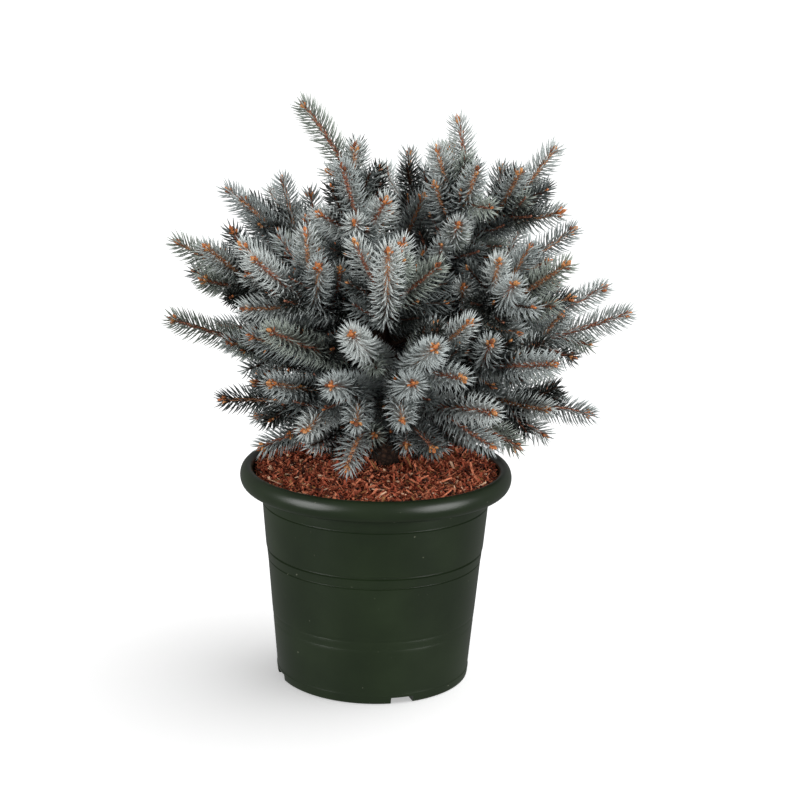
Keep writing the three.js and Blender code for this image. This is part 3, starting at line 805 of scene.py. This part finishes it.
# ---------------------------------------------------------------- twigs
# Needled shoots, 2 to 6 mm thick, knobbly with the pegs that the needles stand on. This
# year's wood is orange or red brown. Last year's is dull brown, as are some inner shoots.
TWIG_SIDES = 6
OLD_WOOD = 2


def shoot_radii(shoot, marks):
    return shoot.radii[0] + (shoot.radii[1] - shoot.radii[0]) * marks / shoot.length


twig_barks = []
for name, dark, mid, light in (
        ("young spruce bark, orange brown", "#845440", "#C48C68", "#E6B890"),
        ("young spruce bark, red brown", "#643A2E", "#A86E58", "#CC967A"),
        ("older spruce bark, dull brown", "#20140E", "#44291B", "#6B4630")):
    young, surface, place = new_material(name, 0.75, 0.35)
    pegs = add_node(young, "TexVoronoi", {"Vector": place, "Scale": 620})
    shades = colour_steps(young, pegs.outputs["Distance"], (0.1, light), (0.45, mid), (0.8, dark))
    link(young, shades, surface, "Base Color")
    bump = add_node(young, "Bump", {"Height": pegs.outputs["Distance"], "Strength": 0.7, "Distance": 0.0006},
                    invert=True)
    link(young, bump.outputs["Normal"], surface, "Normal")
    twig_barks.append(young)

parts, kinds = [], []
for shoot in shoots:
    corners, triangles = tube(shoot.points, shoot_radii(shoot, shoot.marks), TWIG_SIDES, 0.16, chance)
    parts.append((corners, triangles))
    ring = np.minimum(triangles.min(axis=1) // TWIG_SIDES, len(shoot.points) - 1)
    kind = chance.integers(0, 2) if shoot.rank < 2 else chance.integers(1, 3)
    kinds.append(np.where(shoot.marks[ring] < shoot.old, OLD_WOOD, kind))
corners, triangles = joined(parts)
twigs = mesh_piece("twigs", corners, triangles, twig_barks, np.concatenate(kinds))
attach(twigs, "root")

# ---------------------------------------------------------------- buds
# Winter buds, wrapped in dry papery scales: a cluster at the end of every outer shoot,
# single ones in the angle of a needle along it, and a small pair on some inner shoots.
BUD_SIDES = 6
BUD_SHAPE = ((0, 0.55), (0.22, 0.95), (0.5, 1), (0.78, 0.62), (1, 0.12))
BUD_LENGTHS = (4.6, 6.2)
BUD_STRETCH = 1.15
BUD_WIDTH = 4.3
BUD_SIZES = (0.85, 1.15)
BUD_LEANS = (30, 54)
BUD_SUNK = 1.2
END_SHADES = (0.45, 0.35, 0.2)
INNER_BUDS = 0.45
INNER_SIZE = 0.7
SIDE_BUD_LENGTHS = (3.2, 5)
SIDE_BUD_WIDTH = 2.1
SIDE_BUD_FIRST = (8, 14)
SIDE_BUD_GAPS = (9, 22)
SIDE_SHADES = (0.4, 0.2, 0.4)


def bud(base, along, length, width):
    """A pointed egg, with a ring at each share of its length and that ring's girth."""
    points = [base + along * length * share for share, _ in BUD_SHAPE]
    return tube(points, [width / 2 * girth for _, girth in BUD_SHAPE], BUD_SIDES, 0.1, chance)


def shoot_frame(shoot, marks):
    """Points on a shoot, and its direction there."""
    points = np.stack([np.interp(marks, shoot.marks, shoot.points[:, axis]) for axis in range(3)], 1)
    slopes = np.gradient(shoot.points, shoot.marks, axis=0)
    along = np.stack([np.interp(marks, shoot.marks, slopes[:, axis]) for axis in range(3)], 1)
    return points, units(along)


parts, kinds = [], []
for shoot in shoots:
    outer = shoot.rank < 2
    points, along = shoot_frame(shoot, np.array([shoot.length]))
    tip, ahead = points[0], along[0]
    level, above = cross_axes(ahead)
    if not outer and chance.uniform() > INNER_BUDS:
        continue
    size = chance.uniform(*BUD_SIZES) if outer else INNER_SIZE
    cluster = [(0, BUD_LENGTHS[1])]
    for _ in range(chance.integers(2, 5) if outer else 1):
        cluster.append((chance.uniform(*BUD_LEANS), chance.uniform(*BUD_LENGTHS)))
    turn = chance.uniform(0, 360)
    for lean, length in cluster:
        turn += 360 / max(1, len(cluster) - 1) + chance.uniform(-20, 20)
        out = swung(level, above, math.radians(turn))
        way = swung(ahead, out, math.radians(lean))
        base = tip - ahead * (BUD_SUNK + lean * 0.05) + out * 0.02 * lean
        corners, triangles = bud(base, way, length * size * BUD_STRETCH, BUD_WIDTH * size)
        parts.append((corners, triangles))
        kinds.append(np.full(len(triangles), chance.choice(3, p=END_SHADES)))
    if outer:
        mark = shoot.length - chance.uniform(*SIDE_BUD_FIRST)
        while mark > max(shoot.old, 0.35 * shoot.length):
            points, along = shoot_frame(shoot, np.array([mark]))
            level, above = cross_axes(along[0])
            out = swung(level, above, math.radians(chance.uniform(-10, 190)))
            way = unit(along[0] * 0.8 + out * 0.6)
            length = chance.uniform(*SIDE_BUD_LENGTHS)
            corners, triangles = bud(points[0] + out * 0.9, way, length, SIDE_BUD_WIDTH)
            parts.append((corners, triangles))
            kinds.append(np.full(len(triangles), chance.choice(3, p=SIDE_SHADES)))
            mark -= chance.uniform(*SIDE_BUD_GAPS)
bud_scales = []
for name, dark, light in (
        ("bud scales, orange", "#A0522A", "#E69658"), ("bud scales, straw", "#AE6C3C", "#F0B074"),
        ("bud scales, brown", "#5A301C", "#9E5E3C")):
    papery, surface, place = new_material(name, 0.55, 0.4)
    overlap = add_node(papery, "TexVoronoi", {"Vector": place, "Scale": 700})
    shades = colour_steps(papery, overlap.outputs["Distance"], (0.15, light), (0.8, dark))
    link(papery, shades, surface, "Base Color")
    bump = add_node(papery, "Bump", {
        "Height": overlap.outputs["Distance"], "Strength": 0.6, "Distance": 0.0005}, invert=True)
    link(papery, bump.outputs["Normal"], surface, "Normal")
    bud_scales.append(papery)
corners, triangles = joined(parts)
buds = mesh_piece("buds", corners, triangles, bud_scales, np.concatenate(kinds))
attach(buds, "root")

# ---------------------------------------------------------------- needles
# Stiff blue spruce needles, about 12 to 22 mm long, set round the shoot by the golden
# angle. They open wide at the foot of a shoot and close round its bud, curve forwards,
# and sweep up a little. Each is a three-sided blade with a sharp point, a little stouter
# than a real one.
GOLDEN = 137.508
NEEDLE_LENGTH = 20
NEEDLE_WIDTH = 1.36
NEEDLES_PER_MM = (2.15, 2.05, 1.7)
RANK_LENGTH = (1, 0.98, 0.92)
FIRST_NEEDLE = 1.5
TO_TIP = (0, 5, 14, 30, 80)
OPENING = (30, 46, 56, 62, 65)
LEAST_OPENING = 8
UPPER_CLOSING = 8
CURL = 3
LOW_SWEEP = 0.03
HIGH_SWEEP = 0.12
BLADE_PARTS = (0.55, 0.45)
BLADE_GIRTHS = (0.4, 0.62)
RING = np.radians([90, 210, 330])
# Triangles over a blade's corners: three at its foot, three at its middle, and its point.
BLADE = np.array([(0, 2, 1), (0, 1, 4), (0, 4, 3), (1, 2, 5), (1, 5, 4), (2, 0, 3), (2, 3, 5),
                  (3, 4, 6), (4, 5, 6), (5, 3, 6)])
MULCH_CLEAR = 229.5           # no needle hangs lower than this
RIM_CLEAR = (124, 143, 230)   # inside and outside radius of the rim, and its top
MOST_NEEDLES = 19000          # in one piece


def all_swung(first, second, angles):
    """As swung, for a row of directions and angles."""
    return first * np.cos(angles)[:, None] + second * np.sin(angles)[:, None]


def needles_on(shoot):
    """Corners of the needles of one shoot, seven to a needle."""
    density = NEEDLES_PER_MM[shoot.rank]
    count = int((shoot.length - FIRST_NEEDLE) * density)
    marks = FIRST_NEEDLE + (np.arange(count) + chance.uniform(0.3, 0.7, count)) / density
    marks = np.minimum(marks, shoot.length - 0.2)
    points, along = shoot_frame(shoot, marks)
    level = units(np.cross(UP, along))
    turn = np.radians(np.arange(count) * GOLDEN + chance.uniform(0, 360) + chance.normal(0, 6, count))
    out = all_swung(level, np.cross(along, level), turn)
    to_tip = shoot.length - marks
    open_angle = np.interp(to_tip, TO_TIP, OPENING)
    open_angle = open_angle - UPPER_CLOSING * np.maximum(0, np.sin(turn)) + chance.normal(0, 3, count)
    open_angle = np.radians(np.maximum(open_angle, LEAST_OPENING))
    reach = NEEDLE_LENGTH * np.interp(to_tip, [0, 10, 24], [0.72, 0.9, 1])
    reach = reach * np.interp(marks, [0, 12], [0.75, 1])
    reach = reach * chance.uniform(0.92, 1.08, count) * RANK_LENGTH[shoot.rank]
    curl = np.radians(CURL)
    low = units(all_swung(along, out, open_angle + curl) + UP * LOW_SWEEP)
    high = units(all_swung(along, out, open_angle - curl) + UP * HIGH_SWEEP)
    base = points + out * (shoot_radii(shoot, marks) * 0.7)[:, None]
    middle = base + low * (reach * BLADE_PARTS[0])[:, None]
    tip = middle + high * (reach * BLADE_PARTS[1])[:, None]
    flat = units(np.cross(low, along))
    deep = np.cross(low, flat)
    width = NEEDLE_WIDTH * chance.uniform(0.88, 1.1, count)
    rings = [spot + (flat * math.cos(angle) + deep * math.sin(angle)) * (width * girth)[:, None]
             for spot, girth in zip((base, middle), BLADE_GIRTHS) for angle in RING]
    corners = np.stack(rings + [tip], 1)
    clear = corners[:, :, 2].min(axis=1) > MULCH_CLEAR
    inner, outer, rim_top = RIM_CLEAR
    from_axis = np.hypot(tip[:, 0], tip[:, 1])
    clear &= ~((tip[:, 2] < rim_top) & (from_axis > inner) & (from_axis < outer))
    return corners[clear]


# Leaf wax over blue-green: plain colours, one for each shoot, under a thin gloss. Silver is dealt
# most to the outer shoots near the top, as painted light, and less low down, as painted shade; the
# inner shoots get mostly slate and the near-black deep green, partly old needles and partly painted shade.
UPPER_ROOT = 360
LOWER_ROOT = 315
needle_waxes = []
for name, code in (
        ("waxy spruce needle, blue grey", "#AFB7B6"), ("waxy spruce needle, silver", "#C9D0CE"),
        ("waxy spruce needle, sea green", "#A0A9A0"), ("waxy spruce needle, slate", "#5E6564"),
        ("old spruce needle, deep green", "#222723")):
    wax, surface, _ = new_material(name, 0.36, 0.5)
    surface.inputs["Base Color"].default_value = linear(code)
    needle_waxes.append(wax)


def wax_and_painted_light_shares(shoot):
    """How likely each wax is on a shoot: palest on the outer shoots near the top, as painted light; darker
    low down, as painted shade; darkest on the inner shoots, partly old needles and partly painted shade.
    """
    if shoot.rank == 2:
        # inner shoots: mostly slate and deep green, partly old needles and partly painted shade
        return (0.1, 0.02, 0.12, 0.36, 0.4)
    if shoot.bough.root[2] > UPPER_ROOT:
        # upper shoots: more silver, as painted light
        return (0.42, 0.46, 0.08, 0.04, 0)
    if shoot.bough.root[2] < LOWER_ROOT:
        # lower shoots: less silver, as painted shade
        return (0.42, 0.13, 0.23, 0.22, 0)
    return (0.4, 0.3, 0.14, 0.16, 0)


# The whorls are joined in groups, each in pieces that stay under the limit on triangles.
GROUPS = {
    "needles_skirt": ("skirt",), "needles_lower": ("lower", "front", "low_inset"),
    "needles_middle": ("middle", "high_inset"),
    "needles_upper": ("upper",), "needles_top": ("shoulder", "crest", "leader")}
for name, whorls in GROUPS.items():
    blades, kinds = [], []
    for shoot in shoots:
        if shoot.bough.name.rsplit("_", 1)[0] in whorls:
            corners = needles_on(shoot)
            blades.append(corners)
            kinds.append(np.full(len(corners), chance.choice(len(needle_waxes), p=wax_and_painted_light_shares(shoot))))
    corners = np.concatenate(blades)
    kinds = np.concatenate(kinds)
    nodes = [f"foliage_{bough.name}" for bough in boughs if bough.name.rsplit("_", 1)[0] in whorls]
    pieces = math.ceil(len(corners) / MOST_NEEDLES)
    for number in range(pieces):
        part = corners[number::pieces]
        first_corners = part.shape[1] * np.arange(len(part))[:, None, None]
        triangles = (BLADE[None] + first_corners).reshape(-1, 3)
        label = name if pieces == 1 else f"{name}_{number + 1}"
        needles = mesh_piece(label, part.reshape(-1, 3), triangles, needle_waxes,
                             np.repeat(kinds[number::pieces], len(BLADE)))
        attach(needles, "root")
        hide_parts(*nodes)

# ---------------------------------------------------------------- floor, lights and camera
# A plain white floor under broad soft studio lights, seen from a little above. The floor
# glows faintly, so it stays pale under the tub. Each lamp: name, the direction it stands
# in, strength, spread in degrees, and the piece that is flagged out of its light.
FLOOR_GLOW = 0.44
WORLD_LIGHT = 0.22
CAMERA_PLACE = (0, -1.94448, 0.78923)
CAMERA_TURN = (75.75806, -1.21542, -0.38012)
CAMERA_LENS = 87.315
CAMERA_SENSOR = 36
bpy.ops.object.select_all(action="DESELECT")
bpy.ops.mesh.primitive_plane_add(size=80)
floor = bpy.context.object
floor.name = "floor"
paper, surface, place = new_material("matt white studio paper", 0.95, 0.1)
fleck = add_node(paper, "TexNoise", {"Vector": place, "Scale": 3, "Detail": 2})
white = colour_steps(paper, fleck.outputs["Fac"], (0.3, "#ECECEC"), (0.7, "#EEEEEE"))
link(paper, white, surface, "Base Color")
surface.inputs["Emission Color"].default_value = (1, 1, 1, 1)
surface.inputs["Emission Strength"].default_value = FLOOR_GLOW
floor.data.materials.append(paper)
floor.visible_diffuse = False
floor.visible_glossy = False

world = bpy.data.worlds.new("studio")
world.use_nodes = True
world.node_tree.nodes["Background"].inputs["Color"].default_value = (1, 1, 1, 1)
world.node_tree.nodes["Background"].inputs["Strength"].default_value = WORLD_LIGHT
bpy.context.scene.world = world


def flag(name, piece):
    """A group that holds one piece out of a lamp's light, as a studio flag does."""
    group = bpy.data.collections.new(name)
    group.objects.link(piece)
    group.collection_objects[0].light_linking.link_state = "EXCLUDE"
    return group


floor_flag = flag("flagged_floor", floor)
tub_flag = flag("flagged_tub", tub)
for name, source, strength, softness, shaded in (
        ("overhead", (0.5, 0.15, 1.0), 2.65, 76, tub_flag),
        ("left_softbox", (-0.83, -0.56, 0.06), 3.4, 42, floor_flag),
        ("right_softbox", (0.83, -0.56, 0.06), 3.4, 42, floor_flag)):
    bpy.ops.object.light_add(type="SUN", location=source)
    lamp = bpy.context.object
    lamp.name = name
    lamp.data.energy = strength
    lamp.data.angle = math.radians(softness)
    lamp.rotation_euler = Vector(source).to_track_quat("Z", "Y").to_euler()
    lamp.light_linking.receiver_collection = shaded

bpy.ops.object.camera_add(location=CAMERA_PLACE, rotation=[math.radians(angle) for angle in CAMERA_TURN])
camera = bpy.context.object
camera.data.sensor_width = CAMERA_SENSOR
camera.data.lens = CAMERA_LENS
bpy.context.scene.camera = camera
bpy.context.scene.view_settings.view_transform = "Standard"
